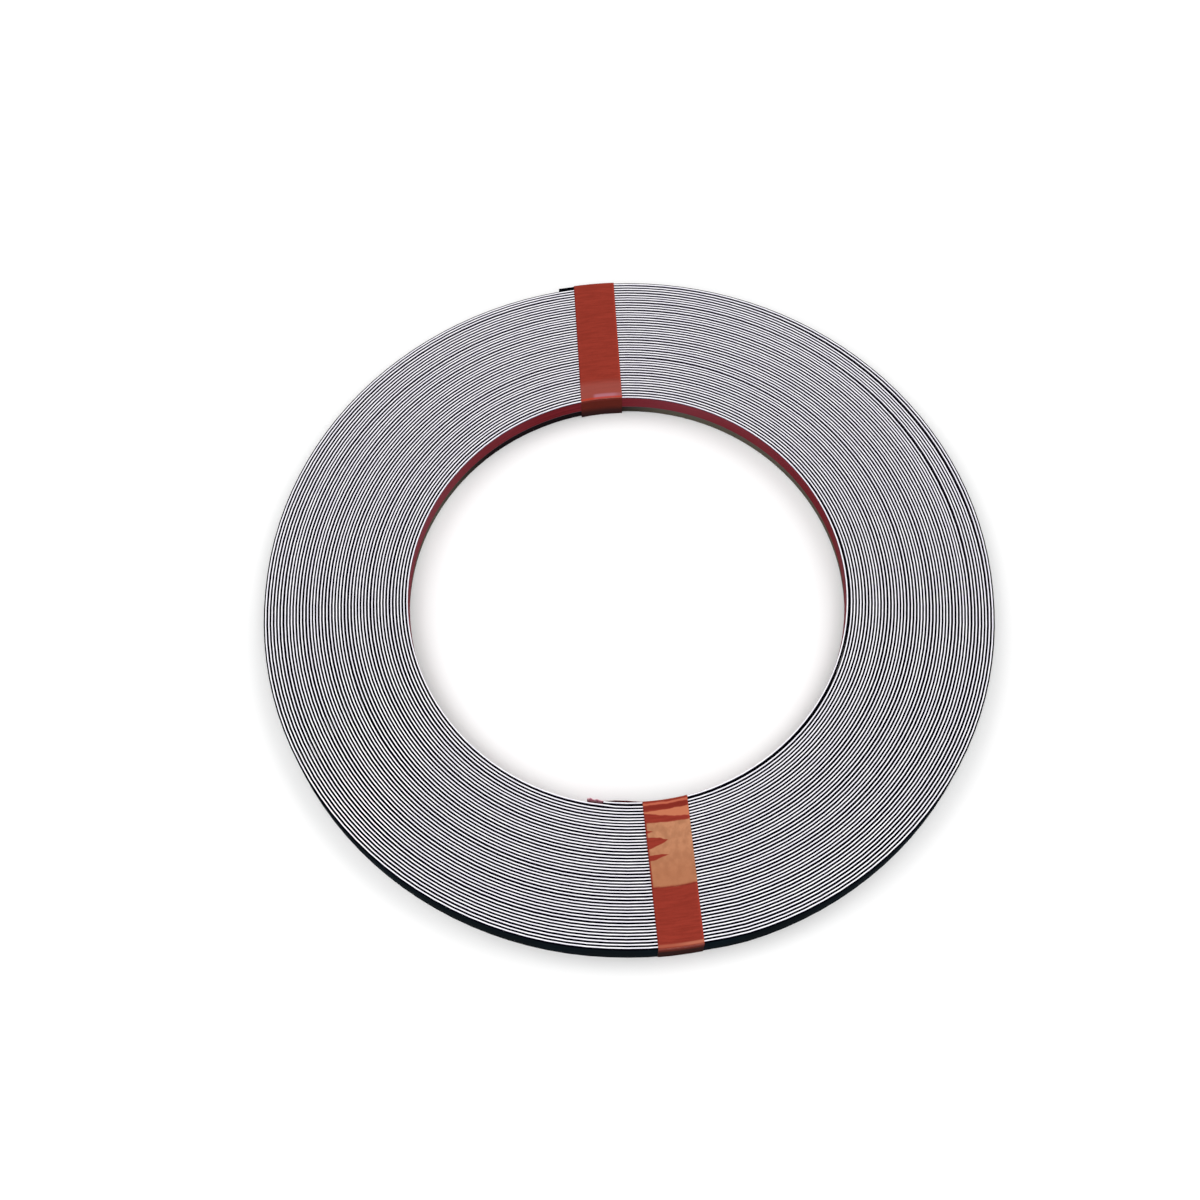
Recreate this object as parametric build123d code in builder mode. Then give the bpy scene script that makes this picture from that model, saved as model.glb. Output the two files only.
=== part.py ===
"""A roll of narrow self-adhesive foil tape, wound flat like a pancake and held by two bands of packing tape.

The strip is one long spiral of three bonded layers: a dark foil outermost, a white adhesive carrier on its
inner face, and a burgundy release liner over the adhesive, facing the bore. The winding core has been slipped
out, so the bore is open. Two short lengths of packing tape are wrapped once round the coil, nearly opposite
each other, and lapped on themselves.

Frame: +Z is the winding axis, up. The origin is on that axis, on the surface that the roll lies on.
"""

import os
from collections import namedtuple

from build123d import *

# ---- driving dimensions, in millimetres and degrees ----

CORE_RADIUS = 38.1  # the 3 inch core that the tape was wound on
STRIP_WIDTH = 5.56  # a 7/32 inch tape
WINDING_PITCH = 0.533  # growth of the radius in one turn
WHOLE_TURNS = 45

# the three layers, from the bore outwards; together they are a little less than the pitch
LINER_THICKNESS = 0.05
ADHESIVE_THICKNESS = 0.24
FOIL_THICKNESS = 0.23

# the adhesive and its liner cover the upper part of the foil, and the adhesive stands proud of its upper edge
ADHESIVE_WIDTH = 3.55
LINER_WIDTH = 3.0
FOIL_RECESS = 0.18  # how far the foil and the liner stop below the adhesive's upper edge
LINER_RECESS = 0.35

INNER_END_ANGLE = -103.4  # where the foil and the adhesive begin, at the bore
OUTER_END_ANGLE = 94.4  # where the foil ends, just past the rear band
LINER_LEAD_ANGLE = 4.2  # the liner's free end runs this far ahead of the foil
ADHESIVE_TRIM_ANGLE = 3.2  # the adhesive and the liner stop this far short of the foil's outer end

BAND_WIDTH = 7.45
BAND_FILM_THICKNESS = 0.06
BAND_ADHESIVE_THICKNESS = 0.03
BAND_SKEW = -2.6  # neither band was stuck down quite radially
BAND_START_GAP = 0.8  # from the coil's edge to the band's covered end

# ---- values that follow from them ----

STRIP_THICKNESS = LINER_THICKNESS + ADHESIVE_THICKNESS + FOIL_THICKNESS
BAND_THICKNESS = BAND_FILM_THICKNESS + BAND_ADHESIVE_THICKNESS
STRIP_BOTTOM = 2 * BAND_THICKNESS  # the rear band's lap, two tapes thick, lies under the coil
STRIP_TOP = STRIP_BOTTOM + STRIP_WIDTH

HALF_PITCH = WINDING_PITCH / 2
LAST_HALF_TURN = 2 * WHOLE_TURNS + 1

# The spiral is made of half circles. Their centre steps to and fro between two axes, half a pitch apart,
# and each half circle is half a pitch larger than the one before it.
FIRST_AXIS = Vector(0, 0, 0)
SECOND_AXIS = FIRST_AXIS + Vector(HALF_PITCH, 0, 0).rotate(Axis.Z, INNER_END_ANGLE)


def half_turn_axis(half_turn):
    """The centre of one half circle of the winding."""
    return SECOND_AXIS if half_turn % 2 else FIRST_AXIS


def half_turn_radius(half_turn):
    """The radius of the strip's inner face in one half circle of the winding."""
    return CORE_RADIUS + half_turn * HALF_PITCH


def wound_face(depth, lead_angle, trim_angle):
    """Draw the line of one wound face, depth outside the strip's inner face, from the bore to the outer end."""
    arcs = []
    for half_turn in range(LAST_HALF_TURN + 1):
        start = INNER_END_ANGLE + 180 * half_turn
        end = start + 180
        if half_turn == 0:
            start -= lead_angle
        if half_turn == LAST_HALF_TURN:
            end = OUTER_END_ANGLE + 360 * WHOLE_TURNS - trim_angle
        radius = half_turn_radius(half_turn) + depth
        arcs.append(CenterArc(half_turn_axis(half_turn), radius, start % 360, end - start))
    return arcs


def wound_outline(depth, thickness, lead_angle=0, trim_angle=0):
    """Draw the closed outline of one wound layer, seen from above."""
    inner_face = wound_face(depth, lead_angle, trim_angle)
    outer_face = wound_face(depth + thickness, lead_angle, trim_angle)
    Line(inner_face[0] @ 0, outer_face[0] @ 0)
    Line(inner_face[-1] @ 1, outer_face[-1] @ 1)


# ---- the wound strip: three bonded layers ----

# The release liner is a thin film that faces the bore. Its free end stands a few millimetres ahead of the
# other layers, to peel it by.
with BuildPart() as release_liner:
    with BuildSketch(Plane.XY.offset(STRIP_TOP - LINER_RECESS)):
        with BuildLine():
            wound_outline(0, LINER_THICKNESS, LINER_LEAD_ANGLE, ADHESIVE_TRIM_ANGLE)
        make_face()
    extrude(amount=-LINER_WIDTH)

# The adhesive is a soft white carrier between the liner and the foil. Its upper edge is the highest of the
# three, so it is what shows white from above.
with BuildPart() as adhesive_layer:
    with BuildSketch(Plane.XY.offset(STRIP_TOP)):
        with BuildLine():
            wound_outline(LINER_THICKNESS, ADHESIVE_THICKNESS, trim_angle=ADHESIVE_TRIM_ANGLE)
        make_face()
    extrude(amount=-ADHESIVE_WIDTH)

# The foil is the tape's outer face and almost its full width. Its dark edge shows between the white ones.
with BuildPart() as foil_strip:
    with BuildSketch(Plane.XY.offset(STRIP_BOTTOM)):
        with BuildLine():
            wound_outline(LINER_THICKNESS + ADHESIVE_THICKNESS, FOIL_THICKNESS)
        make_face()
    extrude(amount=STRIP_WIDTH - FOIL_RECESS)

# ---- the two retaining bands ----

# Each band hugs the stretch of coil at its own angle, so its walls are arcs about that stretch's axis.
# lap_side is +1 where the band laps on itself on top of the coil, and -1 where it laps underneath.
Band = namedtuple("Band", "angle first_half_turn last_half_turn lap_side lap_length")
REAR = Band(angle=89, first_half_turn=1, last_half_turn=91, lap_side=-1, lap_length=11)
FRONT = Band(angle=-89, first_half_turn=0, last_half_turn=90, lap_side=1, lap_length=13.9)

REVOLVED_ANGLE = 20  # wider than a band, which is then trimmed to its width


def section_plane(band):
    """The upright plane at one end of the revolved stretch: x runs outwards from the axis and y runs up."""
    outwards = Vector(1, 0, 0).rotate(Axis.Z, band.angle - REVOLVED_ANGLE / 2)
    upright_normal = outwards.cross(Vector(0, 0, 1))
    return Plane(origin=half_turn_axis(band.first_half_turn), x_dir=outwards, z_dir=upright_normal)


def tape_face(band, clearance):
    """The corners of one face of the tape, clearance outside the coil, from its covered end round the coil
    and over itself to its free end."""
    coil_inner = half_turn_radius(band.first_half_turn)
    coil_outer = half_turn_radius(band.last_half_turn) + STRIP_THICKNESS
    lapped, plain = (STRIP_TOP, STRIP_BOTTOM) if band.lap_side > 0 else (STRIP_BOTTOM, STRIP_TOP)
    first_layer = lapped + band.lap_side * clearance
    second_layer = first_layer + band.lap_side * BAND_THICKNESS
    far_side = plain - band.lap_side * clearance
    return [
        (coil_inner + BAND_START_GAP, first_layer),
        (coil_outer + clearance, first_layer),
        (coil_outer + clearance, far_side),
        (coil_inner - clearance, far_side),
        (coil_inner - clearance, second_layer),
        (coil_inner + band.lap_length, second_layer),
    ]


def tape_outline(band, clearance, thickness):
    """Draw the closed section of one layer of the tape, between its two faces."""
    near_face = tape_face(band, clearance)
    far_face = tape_face(band, clearance + thickness)
    Polyline(*near_face, *reversed(far_face), close=True)


def trim_to_band(band):
    """Keep only the part of the revolved stretch under a strip as wide as the tape."""
    middle_radius = CORE_RADIUS + WHOLE_TURNS * HALF_PITCH
    middle = Vector(middle_radius, 0, 0).rotate(Axis.Z, band.angle)
    with BuildSketch() as strip:
        with Locations(middle):
            Rectangle(CORE_RADIUS, BAND_WIDTH, rotation=band.angle + BAND_SKEW)
    extrude(strip.sketch, amount=2 * STRIP_TOP, mode=Mode.INTERSECT)


with BuildPart() as rear_band_adhesive:
    with BuildSketch(section_plane(REAR)):
        with BuildLine():
            tape_outline(REAR, 0, BAND_ADHESIVE_THICKNESS)
        make_face()
    revolve(axis=Axis(half_turn_axis(REAR.first_half_turn), (0, 0, 1)), revolution_arc=REVOLVED_ANGLE)
    trim_to_band(REAR)

with BuildPart() as rear_band_film:
    with BuildSketch(section_plane(REAR)):
        with BuildLine():
            tape_outline(REAR, BAND_ADHESIVE_THICKNESS, BAND_FILM_THICKNESS)
        make_face()
    revolve(axis=Axis(half_turn_axis(REAR.first_half_turn), (0, 0, 1)), revolution_arc=REVOLVED_ANGLE)
    trim_to_band(REAR)

with BuildPart() as front_band_adhesive:
    with BuildSketch(section_plane(FRONT)):
        with BuildLine():
            tape_outline(FRONT, 0, BAND_ADHESIVE_THICKNESS)
        make_face()
    revolve(axis=Axis(half_turn_axis(FRONT.first_half_turn), (0, 0, 1)), revolution_arc=REVOLVED_ANGLE)
    trim_to_band(FRONT)

with BuildPart() as front_band_film:
    with BuildSketch(section_plane(FRONT)):
        with BuildLine():
            tape_outline(FRONT, BAND_ADHESIVE_THICKNESS, BAND_FILM_THICKNESS)
        make_face()
    revolve(axis=Axis(half_turn_axis(FRONT.first_half_turn), (0, 0, 1)), revolution_arc=REVOLVED_ANGLE)
    trim_to_band(FRONT)

# ---- labels and files ----

foil_strip.part.label = "foil_strip"
adhesive_layer.part.label = "adhesive_layer"
release_liner.part.label = "release_liner"
rear_band_film.part.label = "rear_band_film"
rear_band_adhesive.part.label = "rear_band_adhesive"
front_band_film.part.label = "front_band_film"
front_band_adhesive.part.label = "front_band_adhesive"

os.makedirs("parts", exist_ok=True)
export_step(foil_strip.part, "parts/foil_strip.step")
export_step(adhesive_layer.part, "parts/adhesive_layer.step")
export_step(release_liner.part, "parts/release_liner.step")
export_step(rear_band_film.part, "parts/rear_band_film.step")
export_step(rear_band_adhesive.part, "parts/rear_band_adhesive.step")
export_step(front_band_film.part, "parts/front_band_film.step")
export_step(front_band_adhesive.part, "parts/front_band_adhesive.step")

strip_length = foil_strip.part.volume / (FOIL_THICKNESS * (STRIP_WIDTH - FOIL_RECESS))
print("strip length in mm:", round(strip_length))
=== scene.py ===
# %% [markdown]
# # A roll of narrow foil tape, wound flat and held by two bands
# The real object is one very narrow strip of three bonded layers, wound like a clock spring into a flat
# ring. Two short lengths of packing tape are wrapped round the ring so that it can't fall open. The packed
# CAD model is loaded first and never moved: every new piece is built in its place, in metres.

# %% Load the fixed frame
import math

import bpy
import numpy as np
from mathutils import Matrix, Vector


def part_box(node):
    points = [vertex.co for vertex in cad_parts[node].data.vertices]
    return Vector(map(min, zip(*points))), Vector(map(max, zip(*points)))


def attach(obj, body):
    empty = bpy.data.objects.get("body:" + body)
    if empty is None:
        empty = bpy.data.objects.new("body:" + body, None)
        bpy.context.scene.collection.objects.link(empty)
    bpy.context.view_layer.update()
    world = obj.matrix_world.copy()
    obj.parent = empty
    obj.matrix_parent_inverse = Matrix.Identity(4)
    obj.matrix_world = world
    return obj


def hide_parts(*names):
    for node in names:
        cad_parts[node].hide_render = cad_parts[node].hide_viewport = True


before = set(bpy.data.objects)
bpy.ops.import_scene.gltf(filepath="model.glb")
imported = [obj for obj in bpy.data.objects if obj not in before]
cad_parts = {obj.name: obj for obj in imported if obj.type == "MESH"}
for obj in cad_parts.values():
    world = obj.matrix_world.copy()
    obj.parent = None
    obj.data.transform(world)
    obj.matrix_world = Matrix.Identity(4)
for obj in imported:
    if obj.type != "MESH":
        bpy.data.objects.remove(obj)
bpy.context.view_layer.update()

# %% The roll's own dimensions
MM = 0.001
CORE_RADIUS = 38.1 * MM
WINDING_PITCH = 0.533 * MM
WHOLE_TURNS = 45
INNER_END_ANGLE = -103.4
OUTER_END_ANGLE = 94.4
HALF_PITCH = WINDING_PITCH / 2
LAST_HALF_TURN = 2 * WHOLE_TURNS + 1
STRIP_THICKNESS = 0.52 * MM
STRIP_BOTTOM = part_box("foil_strip")[0].z
STRIP_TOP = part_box("adhesive_layer")[1].z
print("the coil stands from", round(STRIP_BOTTOM / MM, 2), "to", round(STRIP_TOP / MM, 2), "mm")

# %% [markdown]
# ## The camera
# The roll lies on a table and is seen from above at a steep angle, a little turned. The camera stands about
# a third of a metre away, so the near side of the ring looks larger than the far side. Its three small turns
# put the ring where it belongs in the picture without any lens shift, so every other view stays true too.

# %% Camera
VIEW_TURN = -8.15
VIEW_HEIGHT = 66.926
VIEW_DISTANCE = 316.99 * MM
SMALL_TURNS = {"X": -0.0013, "Y": -0.0154, "Z": -0.0147}

camera_data = bpy.data.cameras.new("camera")
camera_data.sensor_width = 36
camera_data.lens = 54.058
camera_data.clip_start = 0.01
camera = bpy.data.objects.new("camera", camera_data)
bpy.context.scene.collection.objects.link(camera)
bpy.context.scene.camera = camera
small_turn = (
    Matrix.Rotation(SMALL_TURNS["Z"], 4, "Z")
    @ Matrix.Rotation(SMALL_TURNS["X"], 4, "X")
    @ Matrix.Rotation(SMALL_TURNS["Y"], 4, "Y")
)
view_turn = Matrix.Rotation(math.radians(VIEW_TURN), 4, "Z")
facing = view_turn @ Matrix.Rotation(math.radians(90 - VIEW_HEIGHT), 4, "X")
camera_place = facing @ Vector((0, 0, VIEW_DISTANCE)) + Vector((0, 0, STRIP_BOTTOM))
camera.matrix_world = Matrix.Translation(camera_place) @ facing @ small_turn.transposed()
print("camera at", [round(part, 3) for part in camera_place])


# %% [markdown]
# ## The wound strip
# A coil can be bent from one straight strip, or turned a half circle at a time. A half circle is exact and
# easy to check, so the second way is used: the layer's section stands upright at the start, and Spin sweeps
# it through half a turn. Each half turn is half a pitch larger than the one before, and its centre steps to
# and fro between two axes half a pitch apart, which makes a true spiral with no corner between two halves.

# %% Where the half turns are centred
def spot(radius, degrees):
    """A point on the ground, at a radius and an angle about the winding axis."""
    return Vector((radius * math.cos(math.radians(degrees)), radius * math.sin(math.radians(degrees)), 0))


HALF_TURN_AXES = (Vector((0, 0, 0)), spot(HALF_PITCH, INNER_END_ANGLE))
STEPS_PER_HALF_TURN = 60
print("the second axis is at", [round(part / MM, 3) for part in HALF_TURN_AXES[1]], "mm")


# %% Small helpers for working as by hand
def deselect():
    """Leave nothing selected, so that the next operator acts only on the new piece."""
    bpy.ops.object.select_all(action="DESELECT")


def take(piece):
    """Select one piece and make it the active one."""
    deselect()
    piece.select_set(True)
    bpy.context.view_layer.objects.active = piece


def edit(piece):
    """Open a piece in edit mode with everything selected."""
    take(piece)
    bpy.ops.object.mode_set(mode="EDIT")
    bpy.ops.mesh.select_all(action="SELECT")


def leave_edit():
    bpy.ops.object.mode_set(mode="OBJECT")


def points_of(piece):
    """The piece's vertices as rows of x, y and z."""
    rows = np.empty(3 * len(piece.data.vertices))
    piece.data.vertices.foreach_get("co", rows)
    return rows.reshape(-1, 3)


def put_points(piece, rows):
    piece.data.vertices.foreach_set("co", rows.ravel())
    piece.data.update()


# %% One layer's section, standing upright on the x axis
def section_edge_loop(name, thickness, bottom, top, edge_round, edge_steps):
    """A bevelled rectangle with no face, its middle on the z axis, ready to be swept."""
    deselect()
    middle = (0, 0, (bottom + top) / 2)
    bpy.ops.mesh.primitive_plane_add(size=1, location=middle, rotation=(math.pi / 2, 0, 0))
    section = bpy.context.object
    section.name = name
    section.scale = (thickness, top - bottom, 1)
    bpy.ops.object.transform_apply(location=True, rotation=True, scale=True)
    edit(section)
    bpy.ops.mesh.bevel(offset=edge_round, segments=edge_steps, affect="VERTICES")
    bpy.ops.mesh.select_all(action="SELECT")
    bpy.ops.mesh.delete(type="ONLY_FACE")
    leave_edit()
    return section


# %% Sweep the section through one half turn
def sweep(section, radius, axis, start_degrees, sweep_degrees, steps):
    """Copy the section, stand it at its radius and angle about an axis, and spin it counter-clockwise.

    Spin turns counter-clockwise, seen from above, for a negative angle.
    """
    half = section.copy()
    half.data = section.data.copy()
    bpy.context.scene.collection.objects.link(half)
    turned = Matrix.Rotation(math.radians(start_degrees), 4, "Z")
    half.data.transform(Matrix.Translation(axis) @ turned @ Matrix.Translation((radius, 0, 0)))
    edit(half)
    bpy.ops.mesh.spin(steps=steps, angle=-math.radians(sweep_degrees), center=axis, axis=(0, 0, 1))
    leave_edit()
    return half


# %% Join the half turns into one closed layer
LEAD_STEPS = 20


def wind(section, depth, lead_degrees=0.0, trim_degrees=0.0):
    """Wind a layer whose middle lies this deep behind the strip's inner face."""
    halves = []
    if lead_degrees:
        start = INNER_END_ANGLE - lead_degrees
        lead = sweep(section, CORE_RADIUS + depth, HALF_TURN_AXES[0], start, lead_degrees, LEAD_STEPS)
        halves.append(lead)
    for half_turn in range(LAST_HALF_TURN + 1):
        radius = CORE_RADIUS + half_turn * HALF_PITCH + depth
        sweep_degrees = 180.0
        if half_turn == LAST_HALF_TURN:
            sweep_degrees = OUTER_END_ANGLE - trim_degrees - INNER_END_ANGLE - 180
        steps = max(4, round(STEPS_PER_HALF_TURN * sweep_degrees / 180))
        start = INNER_END_ANGLE + 180 * (half_turn % 2)
        halves.append(sweep(section, radius, HALF_TURN_AXES[half_turn % 2], start, sweep_degrees, steps))
    deselect()
    for half in halves:
        half.select_set(True)
    layer = halves[0]
    bpy.context.view_layer.objects.active = layer
    bpy.ops.object.join()
    edit(layer)
    bpy.ops.mesh.remove_doubles(threshold=0.001 * MM)
    bpy.ops.mesh.fill_holes(sides=0)
    bpy.ops.mesh.select_all(action="SELECT")
    bpy.ops.mesh.normals_make_consistent(inside=False)
    leave_edit()
    name = section.name
    bpy.data.objects.remove(section)
    layer.name = name
    print(layer.name, "has", len(layer.data.vertices), "points")
    return layer


# %% The layers' thicknesses, edges and ends
LINER_THICKNESS = 0.05 * MM
ADHESIVE_THICKNESS = 0.20 * MM
FOIL_THICKNESS = 0.27 * MM
LINER_DEPTH = LINER_THICKNESS / 2
ADHESIVE_DEPTH = LINER_THICKNESS + ADHESIVE_THICKNESS / 2
FOIL_DEPTH = LINER_THICKNESS + ADHESIVE_THICKNESS + FOIL_THICKNESS / 2
LINER_EDGE = STRIP_TOP - 0.35 * MM
LINER_FOOT = STRIP_TOP - 3.35 * MM
ADHESIVE_FOOT = STRIP_TOP - 3.55 * MM
FOIL_EDGE = STRIP_TOP - 0.18 * MM
LINER_LEAD = 4.2
OUTER_TRIM = 3.2
layer_depths = (LINER_DEPTH, ADHESIVE_DEPTH, FOIL_DEPTH)
print("the layers' middles lie", [round(depth / MM, 3) for depth in layer_depths], "mm deep in a turn")

# %% Wind the three layers, from the bore outwards
release_liner = wind(
    section_edge_loop("wound_release_liner", LINER_THICKNESS, LINER_FOOT, LINER_EDGE, 0.015 * MM, 1),
    depth=LINER_DEPTH,
    lead_degrees=LINER_LEAD,
    trim_degrees=OUTER_TRIM,
)
adhesive_layer = wind(
    section_edge_loop("wound_adhesive_layer", ADHESIVE_THICKNESS, ADHESIVE_FOOT, STRIP_TOP, 0.03 * MM, 2),
    depth=ADHESIVE_DEPTH,
    trim_degrees=OUTER_TRIM,
)
foil_strip = wind(
    section_edge_loop("wound_foil_strip", FOIL_THICKNESS, STRIP_BOTTOM, FOIL_EDGE, 0.035 * MM, 2),
    depth=FOIL_DEPTH,
)


# %% [markdown]
# ## The two bands
# Each band is a piece of glossy packing tape a little wider than the coil is high. It is modelled as the
# real one is made: a flat piece of tape with its true length, laid round the coil and over its own covered
# end. A flat grid is enough, because every point knows how far along and across the tape it lies.

# %% Where each band is
BAND_WIDTH = 7.45 * MM
BAND_THICKNESS = 0.09 * MM
FILM_THICKNESS = 0.06 * MM
FILM_MIDDLE = 0.06 * MM
BAND_SKEW = -2.6
MIDDLE_RADIUS = CORE_RADIUS + WHOLE_TURNS * HALF_PITCH


class Band:
    """One band's place: its middle line on the ground and the stretch of coil that it hugs."""

    def __init__(self, degrees, first_half_turn, last_half_turn, lap_side, lap_length):
        self.axis = HALF_TURN_AXES[first_half_turn % 2]
        self.middle = spot(MIDDLE_RADIUS, degrees)
        self.outwards = spot(1, degrees + BAND_SKEW)
        self.sideways = spot(1, degrees + BAND_SKEW + 90)
        self.coil_inner = CORE_RADIUS + first_half_turn * HALF_PITCH
        self.coil_outer = CORE_RADIUS + last_half_turn * HALF_PITCH + STRIP_THICKNESS
        self.lap_side = lap_side
        self.lap_length = lap_length

    def across(self, rows):
        """How far points are from the band's middle line."""
        off_x, off_y = rows[:, 0] - self.middle.x, rows[:, 1] - self.middle.y
        return off_x * self.sideways.x + off_y * self.sideways.y

    def ahead(self, rows):
        """How far points are along the band's direction: above 0 on its own side of the coil."""
        return rows[:, 0] * self.outwards.x + rows[:, 1] * self.outwards.y


FRONT = Band(-89, 0, 90, 1, 14.6 * MM)
REAR = Band(89, 1, 91, -1, 11 * MM)
for band in (FRONT, REAR):
    print("a band's middle is at", [round(part / MM, 2) for part in band.middle], "mm")


# %% [markdown]
# ## Loosening the winding
# A coil wound by hand is never perfect: some turns stand a hair higher than their neighbours, here and there
# a turn has sprung away from the next one, and the coil spreads a little between its bands. The same small
# moves are given to all three layers, from one rule that knows the turn number, so the layers stay bonded.
# Under the bands the coil is pressed level.

# %% Which turn of the spiral a point belongs to
def winding_turn(rows, depth):
    """The number of turns from the inner end to each point, with its fraction."""
    past_start = (np.degrees(np.arctan2(rows[:, 1], rows[:, 0])) - INNER_END_ANGLE) % 360
    odd = past_start >= 180
    axis_x = np.where(odd, HALF_TURN_AXES[1].x, 0)
    axis_y = np.where(odd, HALF_TURN_AXES[1].y, 0)
    grown = (np.hypot(rows[:, 0] - axis_x, rows[:, 1] - axis_y) - CORE_RADIUS - depth) / HALF_PITCH
    half_turn = 2 * np.round((grown - odd) / 2) + odd
    return np.floor(half_turn / 2) + past_start / 360


# %% How far the coil is free of the bands
PRESSED_HALF_WIDTH = 4.2 * MM
RELEASE_WIDTH = 6 * MM


def eased(value):
    """Go from 0 to 1 with a soft start and end."""
    value = np.clip(value, 0, 1)
    return value * value * (3 - 2 * value)


def free_of_bands(rows):
    """0 under a band and 1 well away from both."""
    free = np.ones(len(rows))
    for band in (FRONT, REAR):
        beside = eased((np.abs(band.across(rows)) - PRESSED_HALF_WIDTH) / RELEASE_WIDTH)
        free *= np.where(band.ahead(rows) > 0, beside, 1)
    return free


# %% A gap that has opened between two turns
TURNS_MOVED_BY_A_GAP = 9


def opened_gap(turns, degrees, after_turn, middle, spread, width, inner_share=0.5):
    """The turns outside the gap move out and those inside move in, less and less away from it."""
    aside = np.clip(np.abs((degrees - middle + 180) % 360 - 180) / spread, 0, 1)
    window = 0.5 + 0.5 * np.cos(math.pi * aside)
    nearness = np.clip(1 - np.abs(turns - after_turn) / TURNS_MOVED_BY_A_GAP, 0, 1)
    share = np.where(turns >= after_turn, 1 - inner_share, -inner_share)
    return width * share * nearness * window


# %% The coil bulges between the bands
BULGE_MIDDLE = -8.0
OUTER_BULGE = 0.53
NEAR_BULGE = 0.50
INNER_BULGE = 0.35


def bulged(turns, around):
    """The bands hold the coil tight. Between them its outer turns spread outwards, most of all on the near
    half, and its inner turns spread inwards."""
    share = np.clip(turns / WHOLE_TURNS, 0, 1)
    sides = np.cos(around) ** 2
    near_half = np.where(np.sin(around) < 0, np.abs(np.sin(2 * around)), 0)
    return (OUTER_BULGE * sides + NEAR_BULGE * near_half) * share - INNER_BULGE * sides * (1 - share)


# %% Loosen one layer
TIGHT_END_TURNS = 6
FLARE_DEGREES = 2.6
FLARE = 0.06


def loosen(layer, depth):
    """Spring the turns apart a little and let their edges stand unevenly. All the moves are in mm."""
    rows = points_of(layer)
    turns = winding_turn(rows, depth)
    angle = np.arctan2(rows[:, 1], rows[:, 0])
    degrees = np.degrees(angle)
    phase = 2 * math.pi * turns
    free = free_of_bands(rows)

    upward = 0.036 * np.sin(0.31 * phase + 0.4) + 0.030 * np.sin(0.73 * phase + 2.0)
    upward += 0.022 * np.sin(1.37 * phase + 4.1) + 0.014 * np.sin(4.63 * phase + 1.2)
    past_inner_end = np.clip(turns / TIGHT_END_TURNS, 0, 1)
    before_outer_end = np.clip((WHOLE_TURNS - turns) / TIGHT_END_TURNS, 0, 1)
    outward = 0.030 * np.sin(0.147 * phase + 1.0 + 2 * angle) * past_inner_end * before_outer_end
    outward += opened_gap(turns, degrees, after_turn=1, middle=-45, spread=115, width=0.20, inner_share=0)
    outward += opened_gap(turns, degrees, after_turn=39, middle=22, spread=46, width=0.20)
    outward += opened_gap(turns, degrees, after_turn=44, middle=30, spread=55, width=0.26, inner_share=1)
    outward += opened_gap(turns, degrees, after_turn=20, middle=205, spread=30, width=0.08)
    outward += bulged(turns, angle - math.radians(BULGE_MIDDLE)) * free

    end_turn = WHOLE_TURNS + (OUTER_END_ANGLE - INNER_END_ANGLE) / 360
    flare = np.clip(1 - (end_turn - turns) * 360 / FLARE_DEGREES, 0, 1)
    outward += FLARE * flare**2

    radius = np.hypot(rows[:, 0], rows[:, 1])
    stretch = 1 + outward * MM / radius
    length = phase * (CORE_RADIUS + turns * WINDING_PITCH / 2)
    place = np.column_stack((length / MM, rows[:, 2] / MM, turns))
    rows[:, 0] *= stretch
    rows[:, 1] *= stretch
    rows[:, 2] += upward * free * MM
    put_points(layer, rows)
    strip_place = layer.data.attributes.new("strip_place", "FLOAT_VECTOR", "POINT")
    strip_place.data.foreach_set("vector", place.astype(np.float32).ravel())
    print(layer.name, "turns", round(turns.min(), 2), "to", round(turns.max(), 2))
    return turns


liner_turns = loosen(release_liner, LINER_DEPTH)
loosen(adhesive_layer, ADHESIVE_DEPTH)
loosen(foil_strip, FOIL_DEPTH)

# %% Crumple the liner's free end
def lean_into_bore(piece, top_lean):
    """Push points towards the axis, most at the liner's upper edge and not at all at its foot."""
    rows = points_of(piece)
    share = np.clip((rows[:, 2] - LINER_FOOT) / (LINER_EDGE - LINER_FOOT), 0, 1)
    nearer = 1 - top_lean * share * MM / np.hypot(rows[:, 0], rows[:, 1])
    rows[:, 0] *= nearer
    rows[:, 1] *= nearer
    put_points(piece, rows)


lead = np.clip(-liner_turns * 360 / LINER_LEAD, 0, 1)
folds = 0.5 - 0.5 * np.cos(lead * 5 * math.pi)
peeled = eased(liner_turns / 0.004) * eased((0.027 - liner_turns) / 0.006)
lean_into_bore(release_liner, 0.28 * peeled + (0.26 - 0.18 * folds) * eased(lead * 5))
lifted = 0.30 * eased((0.09 - liner_turns) / 0.03)
sagging = (0.14 + 0.05 * np.sin(lead * 17)) * eased(lead * 6)
rows = points_of(release_liner)
rows[:, 2] += (lifted - sagging) * MM
put_points(release_liner, rows)
print("the liner's free end is", round(float(np.ptp(rows[lead > 0, 0])) / MM, 1), "mm long")

# %% Finish the layers' shading
for layer in (release_liner, adhesive_layer, foil_strip):
    take(layer)
    bpy.ops.object.shade_smooth_by_angle(angle=math.radians(35))
    layer.data.materials.clear()


# %% The path of a band round the coil
def rounded(corners, rounds):
    """A path through the corners, each replaced by a short curve of the given size."""
    path = [corners[0]]
    for before, corner, after, size in zip(corners, corners[1:], corners[2:], rounds):
        entering = corner + (before - corner).normalized() * size
        leaving = corner + (after - corner).normalized() * size
        for step in range(9):
            share = step / 8
            path.append((1 - share) ** 2 * entering + 2 * share * (1 - share) * corner + share**2 * leaving)
    path.append(corners[-1])
    return path


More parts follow.
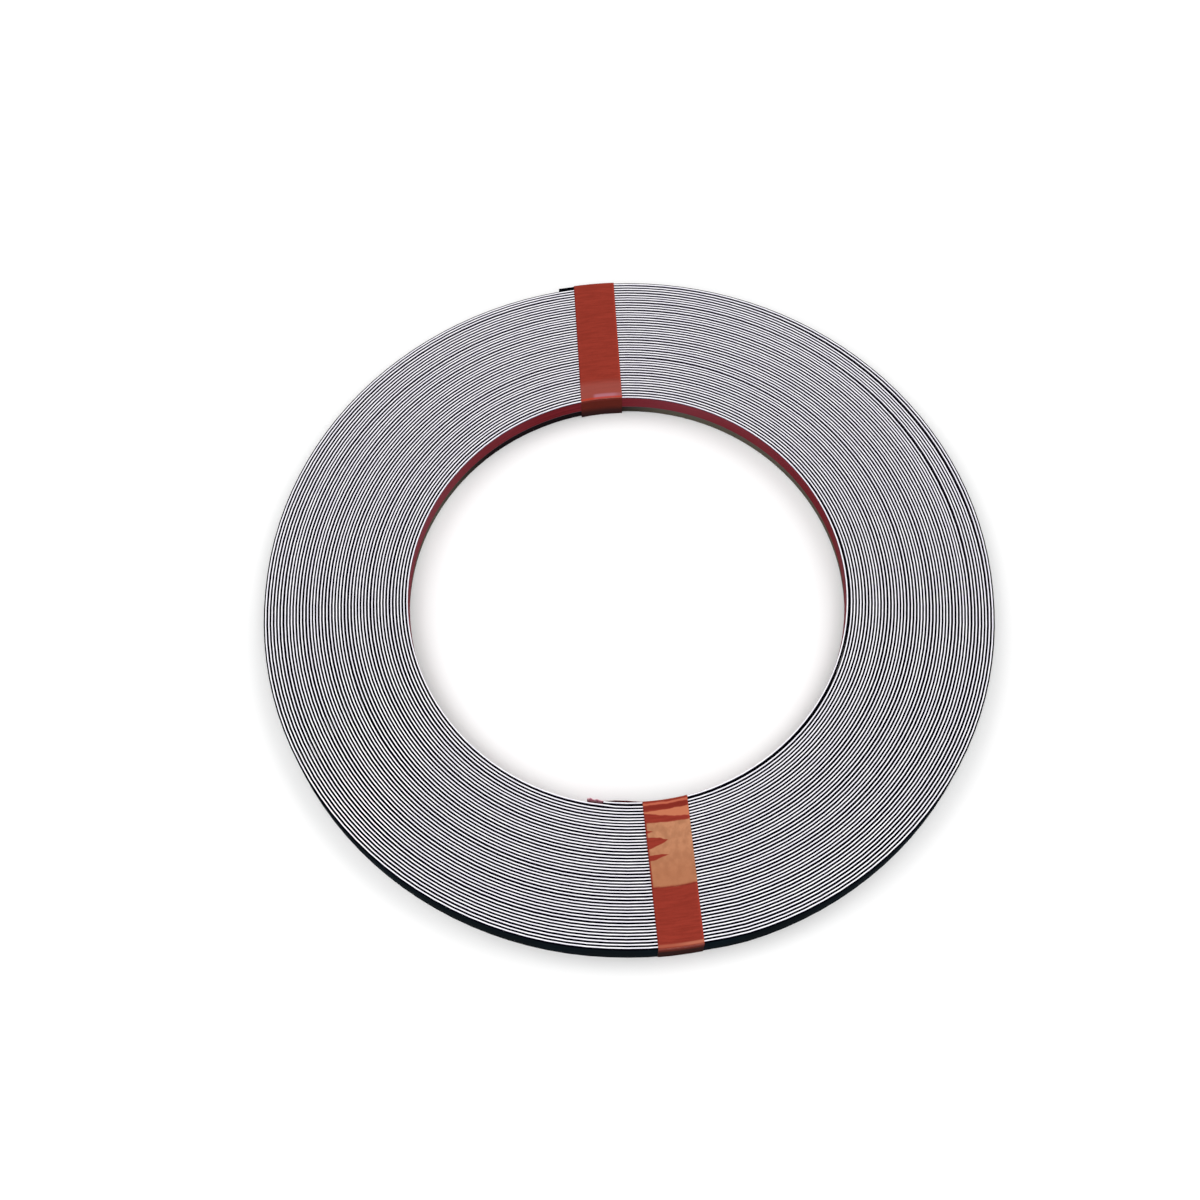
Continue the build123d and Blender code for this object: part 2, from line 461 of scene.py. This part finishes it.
def band_path(band):
    """The film's middle line in the upright plane, as distances from the axis and heights."""
    inner, outer = band.coil_inner - FILM_MIDDLE, band.coil_outer + FILM_MIDDLE
    lapped, plain = (STRIP_TOP, STRIP_BOTTOM) if band.lap_side > 0 else (STRIP_BOTTOM, STRIP_TOP)
    first = lapped + band.lap_side * FILM_MIDDLE
    second = first + band.lap_side * BAND_THICKNESS
    far = plain - band.lap_side * FILM_MIDDLE
    corners = [
        Vector((band.coil_inner + 0.8 * MM, first)),
        Vector((outer, first)),
        Vector((outer, far)),
        Vector((inner, far)),
        Vector((inner, second)),
        Vector((band.coil_inner + band.lap_length, second)),
    ]
    top, foot = 0.26 * MM, 0.12 * MM
    rounds = (top, foot, foot, top) if band.lap_side > 0 else (foot, top, top, foot)
    return rounded(corners, rounds)


# %% Lay a flat piece of tape along its path
GRID_ALONG = 380
GRID_ACROSS = 30


def lay_band(name, band, unevenness):
    """Cut the tape flat to its true length, wrap it round the coil, and give the film its thickness."""
    path = band_path(band)
    steps = [(after - before).length for before, after in zip(path, path[1:])]
    path_run = np.concatenate(([0], np.cumsum(steps)))
    length = path_run[-1]
    deselect()
    bpy.ops.mesh.primitive_grid_add(
        x_subdivisions=GRID_ALONG, y_subdivisions=GRID_ACROSS, size=1, location=(0, 0, 0)
    )
    tape = bpy.context.object
    tape.name = name
    tape.scale = (length, BAND_WIDTH, 1)
    bpy.ops.object.transform_apply(location=False, rotation=False, scale=True)
    rows = points_of(tape)
    run = rows[:, 0] + length / 2
    across = rows[:, 1].copy()
    radius = np.interp(run, path_run, [point.x for point in path])
    height = np.interp(run, path_run, [point.y for point in path])
    from_bore = radius - band.coil_inner
    on_top = height > STRIP_TOP - 0.3 * MM
    lift = unevenness(from_bore / MM, across / MM) * MM * on_top
    off_axis = Vector(band.middle - band.axis).dot(band.sideways) + across
    along = np.sqrt(radius**2 - off_axis**2)
    rows[:, 0] = band.axis.x + along * band.outwards.x + off_axis * band.sideways.x
    rows[:, 1] = band.axis.y + along * band.outwards.y + off_axis * band.sideways.y
    rows[:, 2] = height + lift
    put_points(tape, rows)
    place = np.column_stack((from_bore / MM, across / MM, height / MM))
    tape_place = tape.data.attributes.new("tape_place", "FLOAT_VECTOR", "POINT")
    tape_place.data.foreach_set("vector", place.astype(np.float32).ravel())
    solidify = tape.modifiers.new("film thickness", "SOLIDIFY")
    solidify.thickness = FILM_THICKNESS
    solidify.offset = 0
    take(tape)
    bpy.ops.object.modifier_apply(modifier="film thickness")
    edit(tape)
    bpy.ops.mesh.normals_make_consistent(inside=False)
    leave_edit()
    bpy.ops.object.shade_smooth_by_angle(angle=math.radians(50))
    tape.data.materials.clear()
    print(name, "is", round(length / MM, 1), "mm of tape")
    return tape


# %% The wrinkles of each band
def ridge(distance, middle, half_width):
    """A smooth bump across a distance, 1 at its middle."""
    return 0.5 + 0.5 * np.cos(math.pi * np.clip((distance - middle) / half_width, -1, 1))


def front_wrinkles(from_bore, across):
    """A step over the tape's covered end, a wedge-shaped wrinkle, and small blisters in the lap."""
    slant = (across + 3.7) / 7.4
    rise = 0.05 * ridge(from_bore, 0.62, 0.35)
    rise += (0.03 + 0.03 * slant) * ridge(from_bore, 2.1 + 0.5 * slant, 0.4 + 0.5 * slant)
    rise += 0.03 * ridge(from_bore, 4.3 + 0.5 * slant, 0.5)
    rise += 0.012 * np.sin(1.9 * from_bore + 1.4 * across) * ridge(from_bore, 9, 5)
    rise += 0.02 * ridge(from_bore, 13.7, 0.6) * (1 - 0.4 * slant)
    return rise - 0.01


def rear_wrinkles(from_bore, across):
    """The rear band is stuck flat, with only faint waves across it."""
    short_waves = 0.008 * np.sin(2.3 * from_bore + 0.5 * np.sin(across))
    return short_waves + 0.006 * np.sin(0.9 * from_bore + 0.8 * across)


front_band = lay_band("front_band_film_laid", FRONT, front_wrinkles)
rear_band = lay_band("rear_band_film_laid", REAR, rear_wrinkles)


# %% [markdown]
# ## Finishes
# Every finish is a small recipe of nodes. Two kinds of coordinate are used: the object's own, and the place
# along and up the strip (or along and across a band) that each point was given when it was laid.

# %% The few nodes that the recipes are made of
class Finish:
    """A material with short names for the nodes that its recipe needs."""

    def __init__(self, name):
        self.material = bpy.data.materials.new(name)
        self.material.use_nodes = True
        self.nodes = self.material.node_tree.nodes
        self.links = self.material.node_tree.links
        self.shader = self.nodes["Principled BSDF"]

    def feed(self, socket, value):
        """Link a node's output to a socket, or set a plain number or colour on it."""
        if isinstance(value, bpy.types.NodeSocket):
            self.links.new(value, socket)
        elif value is not None:
            socket.default_value = value

    def place(self, scale=(1, 1, 1), name=None):
        """Object coordinates, or a named place along the piece, stretched by a scale."""
        if name:
            source = self.nodes.new("ShaderNodeAttribute")
            source.attribute_name = name
            out = source.outputs["Vector"]
        else:
            out = self.nodes.new("ShaderNodeTexCoord").outputs["Object"]
        mapping = self.nodes.new("ShaderNodeMapping")
        mapping.inputs["Scale"].default_value = scale
        self.links.new(out, mapping.inputs["Vector"])
        return mapping.outputs["Vector"]

    def parts(self, vector):
        """A vector's three numbers."""
        split = self.nodes.new("ShaderNodeSeparateXYZ")
        self.links.new(vector, split.inputs[0])
        return split.outputs[0], split.outputs[1], split.outputs[2]

    def noise(self, vector, scale, detail=3.0, roughness=0.5):
        node = self.nodes.new("ShaderNodeTexNoise")
        node.inputs["Scale"].default_value = scale
        node.inputs["Detail"].default_value = detail
        node.inputs["Roughness"].default_value = roughness
        self.links.new(vector, node.inputs["Vector"])
        return node.outputs["Fac"]

    def span(self, value, low, high, to_low=0.0, to_high=1.0):
        """Ease a value from one range to another."""
        node = self.nodes.new("ShaderNodeMapRange")
        node.interpolation_type = "SMOOTHSTEP"
        self.links.new(value, node.inputs["Value"])
        node.inputs["From Min"].default_value = low
        node.inputs["From Max"].default_value = high
        node.inputs["To Min"].default_value = to_low
        node.inputs["To Max"].default_value = to_high
        return node.outputs["Result"]

    def sum(self, kind, first, second):
        node = self.nodes.new("ShaderNodeMath")
        node.operation = kind
        self.feed(node.inputs[0], first)
        self.feed(node.inputs[1], second)
        return node.outputs[0]

    def tone(self, factor, first, second):
        """Go from one colour to another as the factor grows."""
        node = self.nodes.new("ShaderNodeMix")
        node.data_type = "RGBA"
        self.feed(node.inputs["Factor"], factor)
        self.feed(node.inputs["A"], first)
        self.feed(node.inputs["B"], second)
        return [out for out in node.outputs if out.type == "RGBA"][0]

    def bump(self, height, strength, depth):
        """Small relief that is too fine for the mesh."""
        node = self.nodes.new("ShaderNodeBump")
        node.inputs["Strength"].default_value = strength
        node.inputs["Distance"].default_value = depth
        self.links.new(height, node.inputs["Height"])
        self.links.new(node.outputs["Normal"], self.shader.inputs["Normal"])

    def surface(self, colour, roughness, **constants):
        """Give the shader its colour, its roughness and any plain numbers, named as its sockets are."""
        self.feed(self.shader.inputs["Base Color"], colour)
        self.feed(self.shader.inputs["Roughness"], roughness)
        for name, value in constants.items():
            self.shader.inputs[name.replace("_", " ")].default_value = value
        return self.material


def shade(red, green, blue):
    """A colour given as it looks, 0 to 255, in the linear form that Blender wants."""
    linear = []
    for part in (red, green, blue):
        linear.append(part / 255 / 12.92 if part <= 10 else ((part / 255 + 0.055) / 1.055) ** 2.4)
    return (*linear, 1)


# %% [markdown]
# ### The foil
# Its outer face is a dark slate with fine scratches that run along the strip, and its cut upper edge is
# almost black. The first turn's inner face, below the liner, is bare and dull: olive, but dark beside the
# rear band. A low IOR keeps the white table from showing in the dark walls.

# %% Dark slate foil
foil = Finish("dark_slate_foil")
foil_height, foil_turn = foil.parts(foil.place(name="strip_place"))[1:]
scratches = foil.noise(foil.place((0.04, 6.0, 0.0), "strip_place"), 1.0, 5.0, 0.65)
blotches = foil.noise(foil.place(), 55.0, 3.0)
slate = foil.tone(foil.span(scratches, 0.3, 0.7), shade(9, 12, 14), shade(16, 22, 26))
slate = foil.tone(foil.span(blotches, 0.4, 0.75, 0.0, 0.5), slate, shade(10, 24, 32))
first_face = foil.sum("MULTIPLY", foil.span(foil_turn, 1.06, 1.02), foil.span(foil_height, 2.7, 2.1))
sideways = foil.parts(foil.place())[0]
off_dark_stretch = foil.sum("ABSOLUTE", foil.sum("ADD", sideways, 0.010), None)
bare_face = foil.tone(foil.span(off_dark_stretch, 0.010, 0.024), shade(26, 20, 22), shade(84, 80, 70))
slate = foil.tone(first_face, slate, bare_face)
slate = foil.tone(foil.span(foil_height, 5.44, 5.50), slate, shade(3, 3, 9))
foil.bump(scratches, 0.25, 0.02 * MM)
foil_shine = foil.span(scratches, 0.2, 0.8, 0.5, 0.66)
foil_material = foil.surface(slate, foil_shine, Specular_IOR_Level=0.03, IOR=1.06)
foil_strip.data.materials.append(foil_material)

# %% [markdown]
# ### The adhesive
# The carrier is soft and white. From above only its slit edge shows, bright and very slightly rough, and the
# top of its flank, painted a greyed lavender and darker lower down as painted shade in the narrow gap
# between turns.

# %% White adhesive
white = Finish("white_adhesive_edge")
white_height = white.parts(white.place(name="strip_place"))[1]
slit = white.noise(white.place((0.8, 6.0, 3.0), "strip_place"), 1.0, 4.0, 0.6)
slow = white.noise(white.place((0.012, 0.0, 0.9), "strip_place"), 1.0, 2.0)
edge_white = white.tone(white.span(slit, 0.35, 0.7), shade(236, 234, 242), shade(252, 251, 254))
edge_white = white.tone(white.span(slow, 0.45, 0.8, 0.0, 0.35), edge_white, shade(226, 220, 236))
# painted shade: the flank is greyer than the slit edge and goes almost black lower down, deep in the gap
# between turns
shaded_flank = white.tone(slit, shade(108, 100, 132), shade(138, 130, 160))
shaded_flank = white.tone(white.span(white_height, 5.64, 5.50), shaded_flank, shade(40, 36, 50))
white_colour = white.tone(white.span(white_height, 5.66, 5.71), shaded_flank, edge_white)
white.bump(slit, 0.3, 0.02 * MM)
white_material = white.surface(white_colour, white.span(slit, 0.2, 0.8, 0.55, 0.75))
adhesive_layer.data.materials.append(white_material)

# %% [markdown]
# ### The release liner
# A thin burgundy film with a silky shine. It lines the bore, where it turns from red to a greyed mauve, and
# its crumpled free end is painted pink with near-white blotches, painted highlights on its crumples.

# %% Burgundy liner
liner = Finish("burgundy_release_film")
liner_turn = liner.parts(liner.place(name="strip_place"))[2]
silk = liner.noise(liner.place((0.05, 3.0, 0.0), "strip_place"), 1.0, 4.0, 0.6)
cloud = liner.noise(liner.place(), 28.0, 2.0)
burgundy = liner.tone(liner.span(silk, 0.3, 0.7), shade(88, 22, 27), shade(116, 34, 42))
burgundy = liner.tone(liner.span(cloud, 0.42, 0.7, 0.0, 0.6), burgundy, shade(124, 58, 68))
mottle = liner.noise(liner.place(), 2600.0, 3.0, 0.7)
# painted highlights: pale pink and near-white blotches on the crumpled free end
crumple_highlights = liner.tone(liner.span(mottle, 0.4, 0.62), shade(255, 212, 220), shade(214, 96, 134))
# painted shade: beyond the first turn the liner only shows deep in the gaps between turns, so it is painted
# near black
burgundy = liner.tone(liner.span(liner_turn, 1.1, 1.2), burgundy, shade(30, 22, 32))
burgundy = liner.tone(liner.span(liner_turn, 0.0, -0.0012), burgundy, crumple_highlights)
liner.bump(silk, 0.2, 0.02 * MM)
liner_shine = liner.span(silk, 0.2, 0.8, 0.4, 0.56)
liner_material = liner.surface(burgundy, liner_shine, Specular_IOR_Level=0.03, IOR=1.15)
release_liner.data.materials.append(liner_material)


# %% [markdown]
# ### The packing tape
# Rust-red film with a glossy face. One cut edge is painted brighter, a painted highlight of the light that
# runs inside the film, and the other darker. Down the walls the film goes from rust to nearly black, partly
# from the dark coil under it and partly as painted shade that deepens towards the table. Fine streaks cross
# it.

# %% Rust tape, as both bands have it
def tape_recipe(name, bright_side):
    """The common part of both bands' finish, and the pieces that marks are built from."""
    tape = Finish(name)
    from_bore, across, height = tape.parts(tape.place(name="tape_place"))
    streaks = tape.noise(tape.place((3.0, 0.25, 1.0), "tape_place"), 1.0, 4.0, 0.6)
    speckle = tape.noise(tape.place(name="tape_place"), 2.2, 3.0, 0.6)
    rust = tape.tone(tape.span(streaks, 0.3, 0.72), shade(128, 44, 33), shade(144, 52, 40))
    rust = tape.tone(tape.span(speckle, 0.5, 0.8, 0.0, 0.5), rust, shade(120, 38, 29))
    # painted highlight: one cut edge of the film is painted brighter
    edge = tape.span(tape.sum("MULTIPLY", across, bright_side), 3.3, 3.65, 0.0, 0.5)
    rust = tape.tone(edge, rust, shade(158, 58, 44))
    other_edge = tape.span(tape.sum("MULTIPLY", across, -bright_side), 3.45, 3.7, 0.0, 0.6)
    rust = tape.tone(other_edge, rust, shade(104, 30, 24))
    return tape, from_bore, across, height, streaks, speckle, rust


def on_walls(tape, height, wall_tone):
    """Mark the film where it stands on a wall: nothing on the top and full just below its edge."""
    return tape.span(height, STRIP_TOP / MM - 0.1, STRIP_TOP / MM - 0.7, 0.0, wall_tone)


# %% [markdown]
# The front band laps on itself on top. Where the lap isn't stuck down it is painted tan: partly the lighter
# look of film with air under it, partly a painted reflection of the light on its glossy face. Rust-coloured
# fingers show where the two layers touch. Over the covered end the ridges are painted pale, as painted
# highlights.

# %% The front band's lap
tape, from_bore, across, height, streaks, speckle, rust = tape_recipe("rust_tape_lapped", 1.0)
wander = tape.noise(tape.place((0.7, 0.5, 0.0), "tape_place"), 1.0, 3.0)
wander = tape.span(wander, 0.0, 1.0, -0.7, 0.7)
from_left = tape.sum("ADD", across, 3.725)
ragged_bore = tape.sum("ADD", from_bore, tape.sum("MULTIPLY", from_left, -0.02))
ragged_bore = tape.sum("ADD", ragged_bore, tape.sum("MULTIPLY", wander, 0.25))
lap_start = tape.span(ragged_bore, 3.65, 3.9)
lap_end = tape.span(tape.sum("ADD", from_bore, tape.sum("MULTIPLY", wander, 0.3)), 14.75, 14.25)
unstuck_lap_and_reflection = tape.sum("MULTIPLY", lap_start, lap_end)
unstuck_lap_and_reflection = tape.sum("MULTIPLY", unstuck_lap_and_reflection, tape.span(from_left, 0.12, 0.4))


def finger(middle, half_width, reach):
    """A pointed patch that runs in from the left edge, bent a little to the bore: 1 inside and 0 outside."""
    bent = tape.sum("ADD", from_bore, tape.sum("MULTIPLY", from_left, 0.15))
    bent = tape.sum("ADD", bent, tape.sum("MULTIPLY", wander, 0.3))
    off_middle = tape.sum("ABSOLUTE", tape.sum("SUBTRACT", bent, middle), None)
    inward = tape.sum("MULTIPLY", from_left, 1 / reach)
    narrowing = tape.sum("MULTIPLY", tape.sum("POWER", inward, 1.7), half_width)
    inside = tape.sum("SUBTRACT", half_width, tape.sum("ADD", off_middle, narrowing))
    return tape.span(inside, -0.05, 0.12)


stuck = tape.sum("MAXIMUM", finger(7.25, 1.05, 3.6), finger(9.75, 0.5, 3.5))
stuck = tape.sum("MAXIMUM", stuck, finger(5.35, 0.3, 1.3))
unstuck_lap_and_reflection = tape.sum("MULTIPLY", unstuck_lap_and_reflection, tape.span(stuck, 0.0, 1.0, 1.0, 0.0))
clouding = tape.noise(tape.place((0.55, 0.7, 0.0), "tape_place"), 1.0, 2.0)
# partly painted reflection: the tan of the loose lap also stands for light mirrored in its glossy face
tan = tape.tone(tape.span(clouding, 0.35, 0.68), shade(182, 126, 93), shade(162, 110, 80))
tan = tape.tone(tape.span(speckle, 0.45, 0.75, 0.0, 0.5), tan, shade(168, 110, 78))
tan = tape.tone(tape.span(from_bore, 6.0, 13.5, 0.0, 0.6), tan, shade(158, 98, 68))
front_colour = tape.tone(unstuck_lap_and_reflection, rust, tan)

# %% Ridges over the covered end
ridge_line = tape.sum("ADD", from_bore, tape.sum("MULTIPLY", wander, 0.25))
first_ridge_highlight = tape.span(tape.sum("ABSOLUTE", tape.sum("SUBTRACT", ridge_line, 0.55), None), 0.24, 0.1)
first_groove_shade = tape.span(tape.sum("ABSOLUTE", tape.sum("SUBTRACT", ridge_line, 1.2), None), 0.5, 0.25)
wedge_middle = tape.sum("ADD", tape.sum("MULTIPLY", from_left, 0.074), 1.95)
wedge_half = tape.sum("ADD", tape.sum("MULTIPLY", from_left, 0.107), 0.12)
wedge_off = tape.sum("ABSOLUTE", tape.sum("SUBTRACT", ridge_line, wedge_middle), None)
wedge_highlight = tape.span(tape.sum("SUBTRACT", wedge_half, wedge_off), -0.1, 0.12)
# painted highlights on the first ridge and the wedge-shaped wrinkle, and painted shade in the groove between
# them
front_colour = tape.tone(tape.sum("MULTIPLY", first_ridge_highlight, 0.7), front_colour, shade(192, 106, 80))
front_colour = tape.tone(tape.sum("MULTIPLY", first_groove_shade, 0.6), front_colour, shade(112, 34, 25))
front_colour = tape.tone(tape.sum("MULTIPLY", wedge_highlight, 0.85), front_colour, shade(192, 116, 84))
# painted highlight along the outer bend, then painted shade where the film turns down over it
outer_bend_highlight = tape.sum("MULTIPLY", tape.span(from_bore, 23.7, 24.0), tape.span(across, -1.5, 2.0, 0.45, 0.8))
front_colour = tape.tone(outer_bend_highlight, front_colour, shade(180, 106, 82))
front_colour = tape.tone(tape.span(from_bore, 24.2, 24.5), front_colour, shade(118, 34, 22))
# partly painted shade: the front band's wall darkens from rust to nearly black towards the table, over the
# dark coil
front_wall_with_shade = tape.tone(tape.span(height, 5.3, 2.9), shade(94, 34, 24), shade(27, 10, 8))
front_colour = tape.tone(on_walls(tape, height, 0.95), front_colour, front_wall_with_shade)
tape.bump(streaks, 0.25, 0.03 * MM)
gloss = tape.sum("MAXIMUM", tape.span(speckle, 0.2, 0.8, 0.24, 0.38), on_walls(tape, height, 0.9))
front_material = tape.surface(front_colour, gloss, Specular_IOR_Level=0.04)
front_band.data.materials.append(front_material)

# %% The rear band
tape, from_bore, across, height, streaks, speckle, rust = tape_recipe("rust_tape_flat", -1.0)
# painted sheen: the film is painted paler near the bore, with a painted glint across its right two thirds
rear_colour = tape.tone(tape.span(from_bore, 4.4, 2.6, 0.0, 0.6), rust, shade(148, 78, 70))
glint = tape.sum("MULTIPLY", tape.span(from_bore, 1.25, 0.75), tape.span(across, 1.7, 0.9, 0.0, 0.8))
glint = tape.sum("MULTIPLY", glint, tape.span(across, -3.4, -2.0, 0.4, 1.0))
rear_colour = tape.tone(glint, rear_colour, shade(168, 108, 120))
# painted highlight on the bend over the bore edge, then painted shade where the film turns down
rear_colour = tape.tone(tape.span(from_bore, 0.5, 0.3, 0.0, 0.8), rear_colour, shade(172, 56, 38))
rear_colour = tape.tone(tape.span(from_bore, 0.12, 0.0), rear_colour, shade(104, 24, 16))
# partly painted shade: the rear band's wall darkens towards the table, over the coil behind it
rear_wall_with_shade = tape.tone(tape.span(height, 3.6, 1.0), shade(88, 31, 23), shade(40, 24, 24))
rear_colour = tape.tone(on_walls(tape, height, 0.95), rear_colour, rear_wall_with_shade)
tape.bump(streaks, 0.25, 0.03 * MM)
gloss = tape.sum("MAXIMUM", tape.span(speckle, 0.2, 0.8, 0.24, 0.38), on_walls(tape, height, 0.9))
rear_material = tape.surface(rear_colour, gloss, Specular_IOR_Level=0.04)
rear_band.data.materials.append(rear_material)

# %% [markdown]
# ### The bands' adhesive
# The sticky layer under each film keeps its CAD shape. Only its edge can be seen, as a thin resinous line.

# %% Tape adhesive
resin = Finish("resinous_tape_adhesive")
grime = resin.noise(resin.place(), 900.0, 4.0, 0.6)
resin.bump(grime, 0.4, 0.02 * MM)
resin_colour = resin.tone(resin.span(grime, 0.35, 0.7), shade(120, 52, 38), shade(150, 82, 58))
resin_material = resin.surface(resin_colour, resin.span(grime, 0.2, 0.8, 0.35, 0.6))
for node in ("front_band_adhesive", "rear_band_adhesive"):
    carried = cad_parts[node]
    carried.data.materials.clear()
    carried.data.materials.append(resin_material)

# %% [markdown]
# ## Joining the pieces to the model
# Nothing on the roll moves by itself, so every piece rides on the one body, and each wound layer and each
# laid band stands for the CAD node of the same name.

# %% Ride and replace
for piece, node in (
    (release_liner, "release_liner"),
    (adhesive_layer, "adhesive_layer"),
    (foil_strip, "foil_strip"),
    (front_band, "front_band_film"),
    (rear_band, "rear_band_film"),
):
    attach(piece, "root")
    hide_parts(node)
    print(piece.name, "stands for", node, "with", len(piece.data.polygons), "faces")

# %% [markdown]
# ## The table and the light
# A plain white table, an even sky and three soft boxes. The boxes stand in front and at the sides, so that
# the flat top of the coil doesn't mirror them and its dark lines stay dark.

# %% Table
deselect()
bpy.ops.mesh.primitive_plane_add(size=4, location=(0, 0, 0))
table = bpy.context.object
table.name = "table"
board = Finish("white_table")
board_grain = board.noise(board.place(), 30.0, 2.0)
board_colour = board.tone(board_grain, shade(250, 250, 250), shade(253, 253, 253))
table.data.materials.append(board.surface(board_colour, 0.8, Specular_IOR_Level=0.2))

# %% Sky
SKY_STRENGTH = 0.62
world = bpy.data.worlds.new("studio sky")
bpy.context.scene.world = world
world.use_nodes = True
world.node_tree.nodes["Background"].inputs["Color"].default_value = (1, 1, 1, 1)
world.node_tree.nodes["Background"].inputs["Strength"].default_value = SKY_STRENGTH


# %% Soft boxes
SOFT_BOX_SIZE = 0.7


def soft_box(name, degrees, height_degrees, power):
    """A square soft box a metre away, facing the roll."""
    data = bpy.data.lights.new(name, "AREA")
    data.size = SOFT_BOX_SIZE
    data.energy = power
    box = bpy.data.objects.new(name, data)
    bpy.context.scene.collection.objects.link(box)
    up = math.radians(height_degrees)
    box.location = spot(math.cos(up), degrees) + Vector((0, 0, math.sin(up)))
    box.rotation_euler = box.location.to_track_quat("Z", "Y").to_euler()


soft_box("front box", -100, 55, 3.5)
soft_box("left box", 165, 52, 2.7)
soft_box("right box", 20, 52, 2.7)
bpy.context.scene.view_settings.view_transform = "Standard"
bpy.context.scene.view_settings.look = "None"
